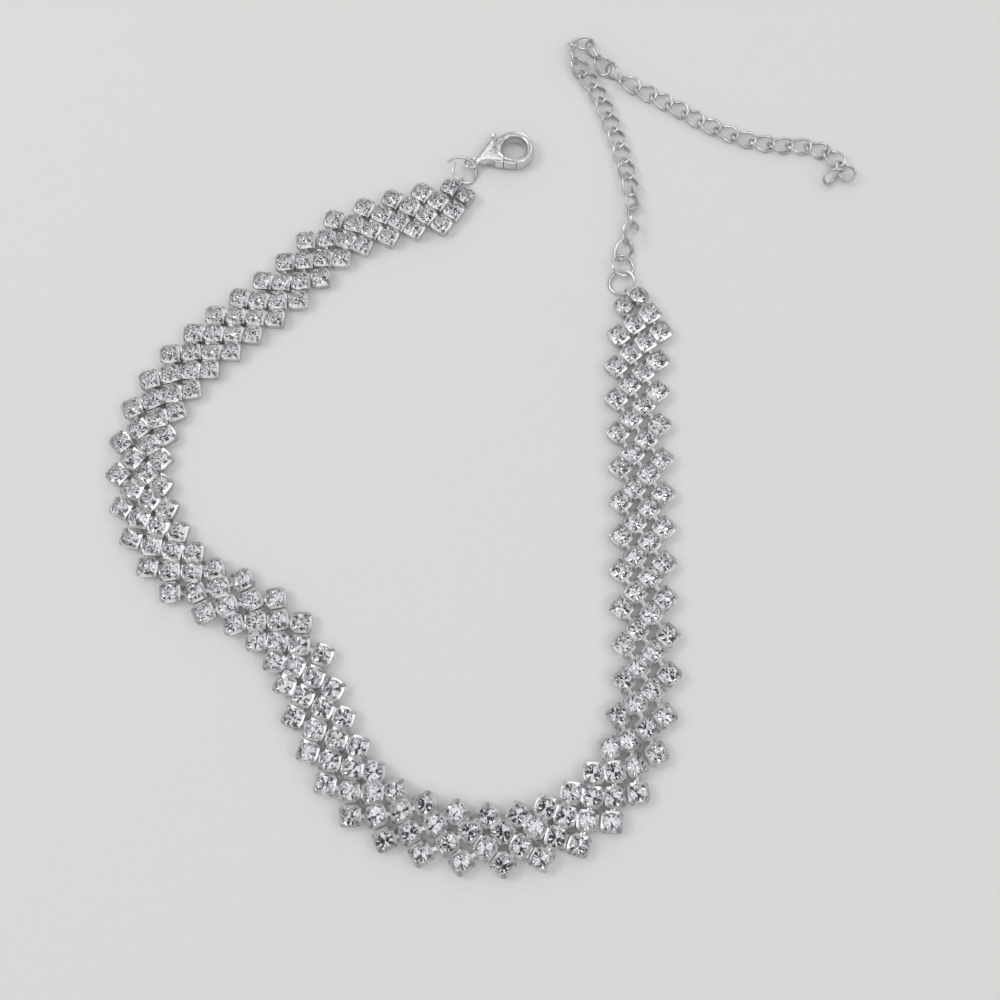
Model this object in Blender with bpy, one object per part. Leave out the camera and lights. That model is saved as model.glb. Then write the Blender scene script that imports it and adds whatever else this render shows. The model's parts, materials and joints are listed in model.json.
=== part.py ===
"""Rhinestone choker necklace, lying open and flat.

Metres, +Z up. The origin is the bottom centre of the bounding box and the cups' flat backs lie on z = 0.
+Y points from the middle of the band to its two ends, where the clasp and the extender chain are.
"""

import math

import bmesh
import bpy
import numpy as np
from mathutils import Euler, Matrix, Vector

MM = 0.001
CLEARANCE = 0.12 * MM  # between any two pieces that could touch

# Stones and the cups that hold them.
STONE_DIAMETER = 3.2 * MM
STONE_SHOWS = 2.9 * MM  # a stone's width at its cup's rim
STONE_TABLE = 1.9 * MM
STONE_SIDES = 8
CROWN_HEIGHT = 0.75 * MM
CUP_RIM = 0.1 * MM
CUP_SIDE = STONE_DIAMETER + 2 * CUP_RIM
CUP_HEIGHT = 2.1 * MM
LINK_BAR_WIDTH = 1.1 * MM
LINK_BAR_THICK = 0.5 * MM
LINK_BAR_HEIGHT = 0.8 * MM
BAR_BITE = 0.5 * MM  # how far a link bar reaches into each cup

# Band: rows of stones run aslant across it, and four tracks run along it, 0 at the neck and 3 outside.
ROWS = 52
TRACK_SPACING = 2.75 * MM
ROW_LAG = 2.9 * MM  # how far each track lies behind the one inside it, along the band
FULL_ROW = (0, 1, 2, 3)
SHORT_ROWS = {1: (0, 1), 2: (0, 1, 2), ROWS - 1: (1, 2, 3), ROWS: (2, 3)}
SOLDERED_TRACKS = ((0, 1), (2, 3))

# The band's middle line as it lies, chosen by hand: row, x mm, y mm.
BAND_ROUTE = [
    (1, 30.0, 25.5),
    (3.5, 27.5, 9.5),
    (7, 27.5, -15.5),
    (10, 27.0, -36.0),
    (13, 26.5, -57.0),
    (15, 22.5, -70.0),
    (17, 13.5, -78.5),
    (20, -4.0, -82.0),
    (23, -22.5, -76.0),
    (26, -33.0, -61.0),
    (28, -37.5, -49.5),
    (30, -46.0, -41.0),
    (32, -58.0, -35.5),
    (34, -66.0, -26.5),
    (36, -70.0, -15.5),
    (38, -69.5, -3.5),
    (40, -64.0, 7.5),
    (42, -56.0, 16.0),
    (45, -43.0, 27.5),
    (47, -34.0, 37.5),
    (49, -23.0, 42.5),
    (52, -5.5, 46.5),
]

# Wire loops on the band's two ends, and the jump rings that pass through them.
END_LOOP_WIRE = 0.4 * MM
END_LOOP_LEG = 0.55 * MM
CLASP_LOOP_LEG = 1.1 * MM
END_LOOP_SLACK = 0.26 * MM
RING_WIRE = 0.6 * MM
RING_SEGMENTS = 12
WIRE_SIDES = 6
END_LOOP_RADIUS = (RING_WIRE + END_LOOP_WIRE) / 2 + END_LOOP_SLACK
END_RING_1_DIAMETER = 5.8 * MM
END_RING_2_DIAMETER = 5.3 * MM
CLASP_RING_DIAMETER = 5.8 * MM
CLASP_RING_START = 145
CLASP_RING_TURN = 380
CLASP_RING_SPREAD = 1.4 * MM  # how far the ring's outer end stands off its circle
CLASP_RING_SPREADS_OVER = 110  # degrees of its outer end

# The rings lean, each on the next, so that they lie low. Degrees: where each lies from what holds it, the
# heading of the axis that it leans about, and how far it leans about that axis and across it.
END_RING_1_BEARING, END_RING_1_LEAN = 110, (105, -14, 0)
END_RING_2_BEARING, END_RING_2_LEAN = 86, (93, 18, -1)
FIRST_LINK_BEARING = 85
CLASP_RING_BEARING, CLASP_RING_LEAN = 75, (57, 26, 0)
END_RING_SLACK = 0.5 * MM
FIRST_LINK_SLACK = 0.6 * MM

# Extender chain: curb links, whose wire rises and falls so that they lie flat in each other.
LINK_LENGTH = 5.65 * MM
LINK_WIDTH = 3.85 * MM
LINK_WIRE = 0.55 * MM
LINK_TWIST = 0.6 * MM
LINK_SEGMENTS = 10
LINK_WIRE_SIDES = 5
LINK_SLACK = 0.57 * MM
LINK_PITCH = LINK_LENGTH - 2 * LINK_WIRE - LINK_SLACK

# The chain as it lies, chosen by hand. Headings in degrees, at some of the links of its two straighter
# stretches: link, heading, roll.
CHAIN_RISE = [(1, 66, 0), (2, 76, -40), (3, 84, -80), (4, 90, -140), (5, 98, -170), (7, 104, -180),
              (10, 109, -180), (12, 121, -180)]
CHAIN_RUN = [(19, -30, 0), (23, -34, 0), (26, -20, 0), (28, -4, 0), (29, -3, 0), (30, -21, 0)]
# Where it folds back, and its end. Places are in link pitches from the link before each table:
# link, x, y, height mm, heading, roll, tilt.
CHAIN_FOLD = [
    (13, -0.46, 0.79, 1.1, 110, -1, 1),
    (14, -0.78, 1.53, 1.95, 92, -89, 0),
    (15, -0.43, 2.24, 1.6, 1, -14, 3),
    (16, 0.29, 1.68, 1.95, -62, -90, 1),
    (17, 0.82, 0.89, 1.35, -68, 2, -2),
    (18, 1.48, 0.21, 1.9, -47, -92, 0),
    (19, 2.24, -0.3, 1.2, -35, 2, -4),
]
CHAIN_END = [
    (31, 0.86, -0.53, 1.0, -43, 0, 3),
    (32, 1.37, -1.38, 1.3, -62, -4, 3),
    (33, 0.69, -1.78, 1.95, 210, -78, -1),
]

# Clasp, in its own frame: the rivet is the origin, and +X points from the eye to the claw.
CLASP_THICK = 2.8 * MM
CLASP_EDGE = 0.45 * MM
CLASP_HEADING = 18
EYE_BEARING = 57  # from the clasp ring's middle to the eye
EYE_REACH = 2.4 * MM
CLASP_AXIS_Y = -0.6 * MM
CLAW_X = 5.2 * MM
CLAW_RADIUS = 4.2 * MM
CLAW_HOLE_RADIUS = 2.5 * MM
BELLY_CENTRE = (1.3 * MM, 0.35 * MM)
BELLY_RADIUS = 2.7 * MM
NECK_X = -2.6 * MM
NECK_RADIUS = 0.9 * MM
NECK_THICK = 1.5 * MM
NOTCH_CENTRE = (-1.0 * MM, -2.9 * MM)
NOTCH_RADIUS = 1.2 * MM
EYE_RADIUS = 1.3 * MM
EYE_WIRE = 0.55 * MM
EYE_ROLL = -10
RIVET_RADIUS = 0.42 * MM

# Lever: a thin plate between the cheeks of the clasp, with a thumb knob and a gate as thick as the claw.
LEVER_THICK = 0.9 * MM
LEVER_OPENS = 30  # degrees
LEVER_HUB_RADIUS = 0.95 * MM
KNOB_ANGLE = 65
KNOB_REACH = 4.85 * MM
KNOB_RADIUS = 0.65 * MM
ARM_HALF_WIDTH = 0.42 * MM
ROOT_ANGLE = -48
ROOT_HALF_WIDTH = 0.55 * MM
ROOT_BITE = 0.8 * MM
ARM_STEP = 0.02 * MM  # the arm and the root are each this much thinner, so that no two faces coincide

# The gate, as angles and reaches from the rivet, and the gap that it leaves in the claw when it is shut.
GATE_THICK = 2.3 * MM
GATE_START = 3.15 * MM
GATE_START_ANGLE = -38
GATE_ROOT_LOW = 4.2 * MM
GATE_ROOT_ANGLE = -65.5
GATE_REACH = 6.2 * MM
GATE_TOP_ANGLE = -31
GATE_LOW_ANGLE = -46
GATE_WAY_MARGIN = 3  # degrees, past the gate's tip on either side
GATE_WAY_LOW_ANGLE = -78
GATE_WAY_TOP_ANGLE = -14
GATE_WAY_TOP_REACH = 4.65 * MM
GATE_WAY_START_ANGLE = -3
SLOT_MARGIN = 4  # degrees, past either end of the lever's swing
ROOT_SLOT_REACH = 4.35 * MM


def material(name, colour, roughness, metallic=1.0):
    made = bpy.data.materials.new(name)
    made.use_nodes = True
    surface = made.node_tree.nodes["Principled BSDF"]
    surface.inputs["Base Color"].default_value = (*colour, 1)
    surface.inputs["Roughness"].default_value = roughness
    surface.inputs["Metallic"].default_value = metallic
    return made


def add_object(name, shape, collection):
    made = bpy.data.objects.new(name, shape)
    collection.objects.link(made)
    return made


def add_part(name, mesh, surface, smooth=True):
    """One piece of the necklace. Its round forms are shaded smooth, and its edges stay sharp."""
    if not mesh.materials:
        mesh.materials.append(surface)
    if smooth:
        mesh.shade_smooth()
        mesh.set_sharp_from_angle(angle=math.radians(50))
    return add_object(name, mesh, parts)


def mesh_from(bm, name):
    bmesh.ops.recalc_face_normals(bm, faces=bm.faces)
    mesh = bpy.data.meshes.new(name)
    bm.to_mesh(mesh)
    bm.free()
    return mesh


def curve_mesh(curve, name):
    """The closed mesh of a bevelled or extruded curve, with its caps welded on."""
    holder = bpy.data.objects.new(name, curve)
    bpy.context.scene.collection.objects.link(holder)
    graph = bpy.context.evaluated_depsgraph_get()
    mesh = bpy.data.meshes.new_from_object(holder.evaluated_get(graph))
    bpy.data.objects.remove(holder)
    bm = bmesh.new()
    bm.from_mesh(mesh)
    bpy.data.meshes.remove(mesh)
    bmesh.ops.remove_doubles(bm, verts=bm.verts, dist=1e-6)
    return mesh_from(bm, name)


def wire_mesh(name, points, diameter, closed, sides=WIRE_SIDES):
    """A round wire along the points."""
    section = bpy.data.curves.new(name + "_section", "CURVE")
    section.dimensions = "2D"
    rim = section.splines.new("POLY")
    rim.points.add(sides - 1)
    for n, point in enumerate(rim.points):
        turn = math.tau * n / sides
        point.co = (diameter / 2 * math.cos(turn), diameter / 2 * math.sin(turn), 0, 1)
    rim.use_cyclic_u = True
    holder = add_object(name + "_section", section, helpers)
    curve = bpy.data.curves.new(name, "CURVE")
    curve.dimensions = "3D"
    curve.bevel_mode = "OBJECT"
    curve.bevel_object = holder
    curve.use_fill_caps = True
    spline = curve.splines.new("POLY")
    spline.points.add(len(points) - 1)
    for point, place in zip(spline.points, points):
        point.co = (*place, 1)
    spline.use_cyclic_u = closed
    mesh = curve_mesh(curve, name)
    bpy.data.objects.remove(holder)
    return mesh


def prism_mesh(name, outline, thick):
    """A flat outline made thick, half above and half below z = 0."""
    curve = bpy.data.curves.new(name, "CURVE")
    curve.dimensions = "2D"
    curve.fill_mode = "BOTH"
    curve.extrude = thick / 2
    spline = curve.splines.new("POLY")
    spline.points.add(len(outline) - 1)
    for point, (x, y) in zip(spline.points, outline):
        point.co = (x, y, 0, 1)
    spline.use_cyclic_u = True
    return curve_mesh(curve, name)


def drum_mesh(name, centre, radius, thick, sides):
    bm = bmesh.new()
    bmesh.ops.create_cone(
        bm, cap_ends=True, segments=sides, radius1=radius, radius2=radius, depth=thick,
        matrix=Matrix.Translation((*centre, 0)),
    )
    return mesh_from(bm, name)


def hull_mesh(name, discs, edge=0):
    """The skin stretched round some discs, with chamfered rims. A disc is centre, radius, thickness, sides."""
    bm = bmesh.new()
    for centre, radius, thick, sides in discs:
        rims = ((radius - edge, thick / 2), (radius, thick / 2 - edge)) if edge else ((radius, thick / 2),)
        for rim_radius, height in rims:
            for z in (-height, height):
                bmesh.ops.create_circle(
                    bm, segments=sides, radius=rim_radius, matrix=Matrix.Translation((*centre, z))
                )
    bmesh.ops.convex_hull(bm, input=bm.verts)
    spare = [v for v in bm.verts if not v.link_faces]
    bmesh.ops.delete(bm, geom=spare, context="VERTS")
    loose = [e for e in bm.edges if not e.link_faces]
    bmesh.ops.delete(bm, geom=loose, context="EDGES")
    bmesh.ops.dissolve_limit(bm, angle_limit=0.002, verts=bm.verts, edges=bm.edges)
    return mesh_from(bm, name)


def join_or_cut(target, mesh, operation):
    """A Boolean on the target. The other shape is kept as a hidden helper."""
    helper = add_object(mesh.name, mesh, helpers)
    helper.hide_render = True
    helper.display_type = "WIRE"
    helper.parent = target.parent
    step = target.modifiers.new(mesh.name, "BOOLEAN")
    step.operation = operation
    step.object = helper
    return step


def polar(radius, degrees):
    turn = math.radians(degrees)
    return radius * math.cos(turn), radius * math.sin(turn)


def arc(radius, start, end, steps):
    """Points along an arc about the origin, from one angle to another in degrees."""
    return [polar(radius, start + (end - start) * n / steps) for n in range(steps + 1)]


# Where the stones lie.


def band_point(row):
    """The band's middle line at a row number, whole or not, as a smooth curve through BAND_ROUTE."""
    route = np.array(BAND_ROUTE)
    knots = route[:, 0]
    slopes = np.gradient(route[:, 1:], knots, axis=0)
    n = int(np.clip(np.searchsorted(knots, row, side="right") - 1, 0, len(knots) - 2))
    span = knots[n + 1] - knots[n]
    u = (row - knots[n]) / span
    place = (
        (2 * u**3 - 3 * u**2 + 1) * route[n, 1:]
        + (u**3 - 2 * u**2 + u) * span * slopes[n]
        + (3 * u**2 - 2 * u**3) * route[n + 1, 1:]
        + (u**3 - u**2) * span * slopes[n + 1]
    )
    return Vector(place) * MM


def band_step(row):
    """How far and which way the middle line goes in one row."""
    return (band_point(row + 0.05) - band_point(row - 0.05)) * 10


def stone_place(row, track):
    """A stone's centre in plan: off the middle line by its track, and behind it by the rows' slant."""
    offset = track - 1.5
    nearest = row - offset * ROW_LAG / band_step(row).length
    along = band_step(nearest).normalized()
    outward = Vector((-along.y, along.x))
    return band_point(nearest) + outward * offset * TRACK_SPACING


def tracks_of(row):
    return SHORT_ROWS.get(row, FULL_ROW)


# The band.


def add_box(bm, centre, heading, size):
    seat = Matrix.Translation(centre) @ Matrix.Rotation(heading, 4, "Z")
    return bmesh.ops.create_cube(bm, size=1, matrix=seat @ Matrix.Diagonal((*size, 1)))["verts"]


def add_casting(bm, places, heading):
    """A square cup, or two soldered together, with a faceted stone standing out of each."""
    centre = sum(places, Vector((0, 0))) / len(places)
    length = (places[-1] - places[0]).length + CUP_SIDE
    cup = add_box(bm, (*centre, CUP_HEIGHT / 2), heading, (length, CUP_SIDE, CUP_HEIGHT))
    lid = max(cup[0].link_faces[:] + cup[-1].link_faces[:], key=lambda face: face.calc_center_median().z)
    top_edges = lid.edges[:]
    bmesh.ops.delete(bm, geom=[lid], context="FACES_ONLY")
    for place in places:
        top_edges += add_crown(bm, Vector((*place, CUP_HEIGHT)), heading)
    bmesh.ops.triangle_fill(bm, use_beauty=True, edges=top_edges)


def add_crown(bm, foot, heading):
    """Facets that rise from a ring of edges in a cup's top to a flat table. Returns that ring."""
    seat = Matrix.Translation(foot) @ Matrix.Rotation(heading + math.pi / STONE_SIDES, 4, "Z")
    rim = bmesh.ops.create_circle(bm, segments=STONE_SIDES, radius=STONE_SHOWS / 2, matrix=seat)["verts"]
    rim_edges = list({edge for vert in rim for edge in vert.link_edges})
    raised = bmesh.ops.extrude_edge_only(bm, edges=rim_edges)["geom"]
    table = [item for item in raised if isinstance(item, bmesh.types.BMVert)]
    for vert in table:
        vert.co = foot + (vert.co - foot) * STONE_TABLE / STONE_SHOWS
        vert.co.z += CROWN_HEIGHT
    bmesh.ops.contextual_create(bm, geom=table)
    return rim_edges


def add_link_bar(bm, start, end):
    """The small bar between two cups of neighbouring rows."""
    across = end - start
    size = (across.length - CUP_SIDE + 2 * BAR_BITE, LINK_BAR_WIDTH, LINK_BAR_THICK)
    add_box(bm, (*(start + end) / 2, LINK_BAR_HEIGHT), math.atan2(across.y, across.x), size)


def end_loop_mesh(name, cup_middle, heading, leg, height):
    """A wire staple that stands out of an end cup, with its own hole for a ring."""
    root = CUP_SIDE / 2 - BAR_BITE
    bend = CUP_SIDE / 2 + leg
    side_view = [(root, -END_LOOP_RADIUS)]
    for x, z in arc(END_LOOP_RADIUS, -90, 90, 6):
        side_view.append((bend + x, z))
    side_view.append((root, END_LOOP_RADIUS))
    out = Vector(polar(1, heading))
    points = [(*(cup_middle + out * x), height + z) for x, z in side_view]
    return wire_mesh(name, points, END_LOOP_WIRE, closed=False)


def make_band():
    places = {(row, track): stone_place(row, track) for row in range(1, ROWS + 1) for track in tracks_of(row)}
    bm = bmesh.new()
    for row in range(1, ROWS + 1):
        tracks = tracks_of(row)
        for soldered in SOLDERED_TRACKS:
            held = [places[row, track] for track in soldered if track in tracks]
            if held:
                across = held[1] - held[0] if len(held) == 2 else places[row, tracks[-1]] - places[row, tracks[0]]
                add_casting(bm, held, math.atan2(across.y, across.x))
    for (row, track), place in places.items():
        onward = places.get((row + 1, track + 1))
        if onward:
            add_link_bar(bm, place, onward)
    band = add_part("rhinestone_band", mesh_from(bm, "rhinestone_band"), cup_silver, smooth=False)
    band.parent = necklace
    return band, (places[1, 0] + places[1, 1]) / 2, (places[ROWS, 2] + places[ROWS, 3]) / 2


def add_end_loop(band, end, ring, diameter, bearing, leg, lean):
    height = loop_height(ring.data, diameter, bearing, lean)
    step = join_or_cut(band, end_loop_mesh(ring.name + "_loop", end, bearing, leg, height), "UNION")
    step.use_self = True


# Rings.


def turned(heading, roll=0, tilt=0):
    """A rotation to a heading, rolled about it and with the front end tilted up, in degrees."""
    return Euler([math.radians(a) for a in (roll, -tilt, heading)])


def pose(obj, place, heading, roll=0, tilt=0):
    obj.location = place
    obj.rotation_euler = turned(heading, roll, tilt)
    obj.parent = necklace


def rest_height(mesh, heading, roll=0, tilt=0):
    """How high an object's origin is when its lowest point is just clear of the floor."""
    matrix = turned(heading, roll, tilt).to_matrix()
    return CLEARANCE / 2 - min((matrix @ vert.co).z for vert in mesh.vertices)


def ring_radius(diameter):
    return (diameter - RING_WIRE) / 2


def ring_mesh(name, diameter):
    points = [(*polar(ring_radius(diameter), 360 * n / RING_SEGMENTS), 0) for n in range(RING_SEGMENTS)]
    return wire_mesh(name, points, RING_WIRE, closed=True)


def clasp_ring_mesh():
    """An opened jump ring: its wire goes round a little more than once, and its outer end stands off."""
    points = []
    for degrees in np.linspace(0, CLASP_RING_TURN, RING_SEGMENTS + 3):
        share = max(degrees - CLASP_RING_TURN + CLASP_RING_SPREADS_OVER, 0) / CLASP_RING_SPREADS_OVER
        radius = ring_radius(CLASP_RING_DIAMETER) + CLASP_RING_SPREAD * share**2
        points.append((*polar(radius, CLASP_RING_START + degrees - CLASP_RING_LEAN[0]), 0))
    return wire_mesh("clasp_ring", points, RING_WIRE, closed=False)


def loop_height(ring, diameter, bearing, lean):
    """Height of a leaning ring's wire on the side that faces the band, where the band's loop holds it."""
    foot = Vector((*polar(ring_radius(diameter), bearing + 180 - lean[0]), 0))
    return rest_height(ring, *lean) + (turned(*lean).to_matrix() @ foot).z


def ring_place(band_end, diameter, bearing, leg):
    reach = CUP_SIDE / 2 + leg + ring_radius(diameter)
    return band_end + Vector(polar(reach, bearing))


def make_end_rings(band_end):
    """Two closed rings, one through the band's first loop and the other through the first."""
    first = add_part("end_ring_1", ring_mesh("end_ring_1", END_RING_1_DIAMETER), ring_silver)
    place = ring_place(band_end, END_RING_1_DIAMETER, END_RING_1_BEARING, END_LOOP_LEG)
    pose(first, (*place, rest_height(first.data, *END_RING_1_LEAN)), *END_RING_1_LEAN)
    second = add_part("end_ring_2", ring_mesh("end_ring_2", END_RING_2_DIAMETER), ring_silver)
    step = (END_RING_1_DIAMETER + END_RING_2_DIAMETER) / 2 - 2 * RING_WIRE - END_RING_SLACK
    place += Vector(polar(step, END_RING_2_BEARING))
    pose(second, (*place, rest_height(second.data, *END_RING_2_LEAN)), *END_RING_2_LEAN)
    return first, place


def make_clasp_ring(band_end):
    ring = add_part("clasp_ring", clasp_ring_mesh(), ring_silver)
    place = ring_place(band_end, CLASP_RING_DIAMETER, CLASP_RING_BEARING, CLASP_LOOP_LEG)
    pose(ring, (*place, rest_height(ring.data, *CLASP_RING_LEAN)), *CLASP_RING_LEAN)
    return ring, place


# The extender chain.


def link_mesh():
    """One curb link: an oval whose wire also rises and falls twice on its way round."""
    half_length = (LINK_LENGTH - LINK_WIRE) / 2
    half_width = (LINK_WIDTH - LINK_WIRE) / 2
    points = []
    for n in range(LINK_SEGMENTS):
        turn = math.tau * n / LINK_SEGMENTS
        points.append(
            (half_length * math.cos(turn), half_width * math.sin(turn), LINK_TWIST * math.sin(2 * turn))
        )
    return wire_mesh("chain_link", points, LINK_WIRE, closed=True, sides=LINK_WIRE_SIDES)


def stretch(table, place, mesh):
    """Poses of the links of a straighter stretch: each goes on from the one before by a pitch."""
    numbers = [row[0] for row in table]
    poses = []
    before = None
    for number in range(numbers[0], numbers[-1] + 1):
        heading = float(np.interp(number, numbers, [row[1] for row in table]))
        roll = float(np.interp(number, numbers, [row[2] for row in table]))
        if before is not None:
            place = place + Vector(polar(LINK_PITCH / 2, before)) + Vector(polar(LINK_PITCH / 2, heading))
        poses.append((number, place, rest_height(mesh, heading, roll), heading, roll, 0))
        before = heading
    return poses


def placed(table, start):
    """Poses of the links of a table that gives each one's place in pitches from the start."""
    return [
        (number, start + Vector((x, y)) * LINK_PITCH, height * MM, heading, roll, tilt)
        for number, x, y, height, heading, roll, tilt in table
    ]


def chain_poses(ring_middle, mesh):
    reach = (END_RING_2_DIAMETER + LINK_LENGTH) / 2 - RING_WIRE - LINK_WIRE - FIRST_LINK_SLACK
    first = ring_middle + Vector(polar(reach, FIRST_LINK_BEARING))
    poses = stretch(CHAIN_RISE, first, mesh)
    poses += placed(CHAIN_FOLD, poses[-1][1])
    poses += stretch(CHAIN_RUN, poses[-1][1], mesh)[1:]
    poses += placed(CHAIN_END, poses[-1][1])
    return poses


def make_chain(ring_middle):
    mesh = link_mesh()
    for number, place, height, heading, roll, tilt in chain_poses(ring_middle, mesh):
        link = add_part(f"chain_link_{number:02d}", mesh, chain_silver)
        pose(link, (*place, height), heading, roll, tilt)


# The clasp.


def sweep_outline(start, end, half_width, reach):
    """What a bar of this half width covers in turning about the origin from one heading to another."""
    near_start = polar(half_width, start - 90)
    near_end = polar(half_width, end + 90)
    lean = math.degrees(math.asin(half_width / reach))
    return [near_start] + arc(reach, start - lean, end + lean, 6) + [near_end]


def claw_centre():
    return CLAW_X, CLASP_AXIS_Y


def gate_outline():
    """The gate: from an edge beside the body to an arc about the rivet, which clears the claw's tip."""
    outer = arc(GATE_REACH, GATE_LOW_ANGLE, GATE_TOP_ANGLE, 4)
    return [polar(GATE_ROOT_LOW, GATE_ROOT_ANGLE)] + outer + [polar(GATE_START, GATE_START_ANGLE)]


def gate_way_outline():
    """What the gate sweeps on its way in, and what it leaves free when it is shut."""
    below = polar(GATE_REACH, GATE_WAY_LOW_ANGLE)
    tip = arc(GATE_REACH + CLEARANCE, GATE_LOW_ANGLE - GATE_WAY_MARGIN, GATE_TOP_ANGLE + GATE_WAY_MARGIN, 5)
    inside = polar(GATE_WAY_TOP_REACH, GATE_WAY_TOP_ANGLE)
    root = arc(GATE_START - CLEARANCE, GATE_WAY_START_ANGLE, GATE_START_ANGLE - 1, 6)
    return [below] + tip + [inside] + root + [polar(GATE_ROOT_LOW, GATE_ROOT_ANGLE - 2)]


def make_clasp_body(frame):
    """The cast claw: a teardrop with a round hole, cut through for the gate and slotted for the lever."""
    discs = (
        ((NECK_X, CLASP_AXIS_Y), NECK_RADIUS, NECK_THICK, 10),
        (BELLY_CENTRE, BELLY_RADIUS, CLASP_THICK, 14),
        (claw_centre(), CLAW_RADIUS, CLASP_THICK, 20),
    )
    body = add_part("clasp_body", hull_mesh("clasp_body", discs, CLASP_EDGE), clasp_silver)
    body.parent = frame
    through = 2 * CLASP_THICK
    slot = LEVER_THICK + 2 * CLEARANCE
    opened = LEVER_OPENS + SLOT_MARGIN
    arm_way = sweep_outline(KNOB_ANGLE, KNOB_ANGLE + opened, ARM_HALF_WIDTH + CLEARANCE, 2 * KNOB_REACH)
    root_way = sweep_outline(
        ROOT_ANGLE - SLOT_MARGIN, ROOT_ANGLE + opened, ROOT_HALF_WIDTH + CLEARANCE, ROOT_SLOT_REACH
    )
    cutters = (
        drum_mesh("claw_hole", claw_centre(), CLAW_HOLE_RADIUS, through, 16),
        drum_mesh("body_notch", NOTCH_CENTRE, NOTCH_RADIUS, through, 12),
        prism_mesh("gate_way", gate_way_outline(), through),
        drum_mesh("hub_slot", (0, 0), LEVER_HUB_RADIUS + CLEARANCE, slot, 14),
        prism_mesh("arm_slot", arm_way, slot),
        prism_mesh("root_slot", root_way, slot),
    )
    for cutter in cutters:
        join_or_cut(body, cutter, "DIFFERENCE")
    eye = wire_mesh("eye", [(*polar(EYE_RADIUS, 30 * n), 0) for n in range(12)], EYE_WIRE, closed=True)
    eye.transform(
        Matrix.Translation((NECK_X - NECK_RADIUS - EYE_RADIUS + EYE_WIRE / 2, CLASP_AXIS_Y, 0))
        @ Matrix.Rotation(math.radians(EYE_ROLL), 4, "X")
    )
    join_or_cut(body, eye, "UNION")
    join_or_cut(body, drum_mesh("rivet", (0, 0), RIVET_RADIUS, CLASP_THICK - CLASP_EDGE, 10), "UNION")


def make_clasp_lever(frame):
    """The sprung lever: a hub on the rivet, an arm up to the thumb knob and a root that carries the gate."""
    hub = hull_mesh("clasp_lever", (((0, 0), LEVER_HUB_RADIUS, LEVER_THICK, 12),))
    lever = add_part("clasp_lever", hub, clasp_silver)
    lever.parent = frame
    arm_outline = sweep_outline(KNOB_ANGLE, KNOB_ANGLE, ARM_HALF_WIDTH, KNOB_REACH)
    root_outline = sweep_outline(ROOT_ANGLE, ROOT_ANGLE, ROOT_HALF_WIDTH, GATE_START + ROOT_BITE)
    knob = bmesh.new()
    bmesh.ops.create_uvsphere(
        knob, u_segments=8, v_segments=6, radius=KNOB_RADIUS,
        matrix=Matrix.Translation((*polar(KNOB_REACH, KNOB_ANGLE), 0)),
    )
    for piece in (
        prism_mesh("lever_arm", arm_outline, LEVER_THICK - ARM_STEP),
        prism_mesh("lever_root", root_outline, LEVER_THICK - 2 * ARM_STEP),
        prism_mesh("lever_gate", gate_outline(), GATE_THICK),
        mesh_from(knob, "lever_knob"),
    ):
        join_or_cut(lever, piece, "UNION")
    bore = drum_mesh("lever_bore", (0, 0), RIVET_RADIUS + CLEARANCE, 2 * LEVER_THICK, 10)
    join_or_cut(lever, bore, "DIFFERENCE")


def make_clasp(ring_middle):
    """The clasp stands on an empty at its rivet, which is the lever's axis."""
    frame = bpy.data.objects.new("clasp_rivet_axis", None)
    helpers.objects.link(frame)
    eye = Vector((NECK_X - NECK_RADIUS - EYE_RADIUS + EYE_WIRE / 2, CLASP_AXIS_Y))
    eye.rotate(Matrix.Rotation(math.radians(CLASP_HEADING), 2))
    eye_place = ring_middle + Vector(polar(EYE_REACH, EYE_BEARING))
    pose(frame, (*(eye_place - eye), CLASP_THICK / 2 + CLEARANCE / 2), CLASP_HEADING)
    make_clasp_body(frame)
    make_clasp_lever(frame)


def new_collection(name, inside):
    made = bpy.data.collections.new(name)
    inside.children.link(made)
    return made


def set_on_origin():
    """Moves the whole necklace so that the middle of its box in plan is the origin."""
    bpy.context.view_layer.update()
    graph = bpy.context.evaluated_depsgraph_get()
    corners = []
    for obj in parts.objects:
        seen = obj.evaluated_get(graph)
        corners += [seen.matrix_world @ vert.co for vert in seen.data.vertices]
    middle = (np.min(corners, axis=0) + np.max(corners, axis=0)) / 2
    necklace.location = (-middle[0], -middle[1], 0)


for old in list(bpy.data.objects):
    bpy.data.objects.remove(old)
parts = new_collection("choker_necklace", bpy.context.scene.collection)
helpers = new_collection("helpers", bpy.context.scene.collection)
cup_silver = material("silver_plated_cups", (0.78, 0.78, 0.8), 0.2)
chain_silver = material("silver_plated_chain", (0.66, 0.66, 0.68), 0.25)
ring_silver = material("silver_plated_rings", (0.72, 0.72, 0.74), 0.25)
clasp_silver = material("silver_plated_clasp", (0.8, 0.8, 0.8), 0.2)
necklace = bpy.data.objects.new("necklace_origin", None)
helpers.objects.link(necklace)

band, first_end, last_end = make_band()
end_ring, ring_middle = make_end_rings(first_end)
make_chain(ring_middle)
clasp_ring, clasp_ring_middle = make_clasp_ring(last_end)
add_end_loop(
    band, first_end, end_ring, END_RING_1_DIAMETER, END_RING_1_BEARING, END_LOOP_LEG, END_RING_1_LEAN
)
add_end_loop(
    band, last_end, clasp_ring, CLASP_RING_DIAMETER, CLASP_RING_BEARING, CLASP_LOOP_LEG, CLASP_RING_LEAN
)
make_clasp(clasp_ring_middle)
set_on_origin()
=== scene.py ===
import json
import math

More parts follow.
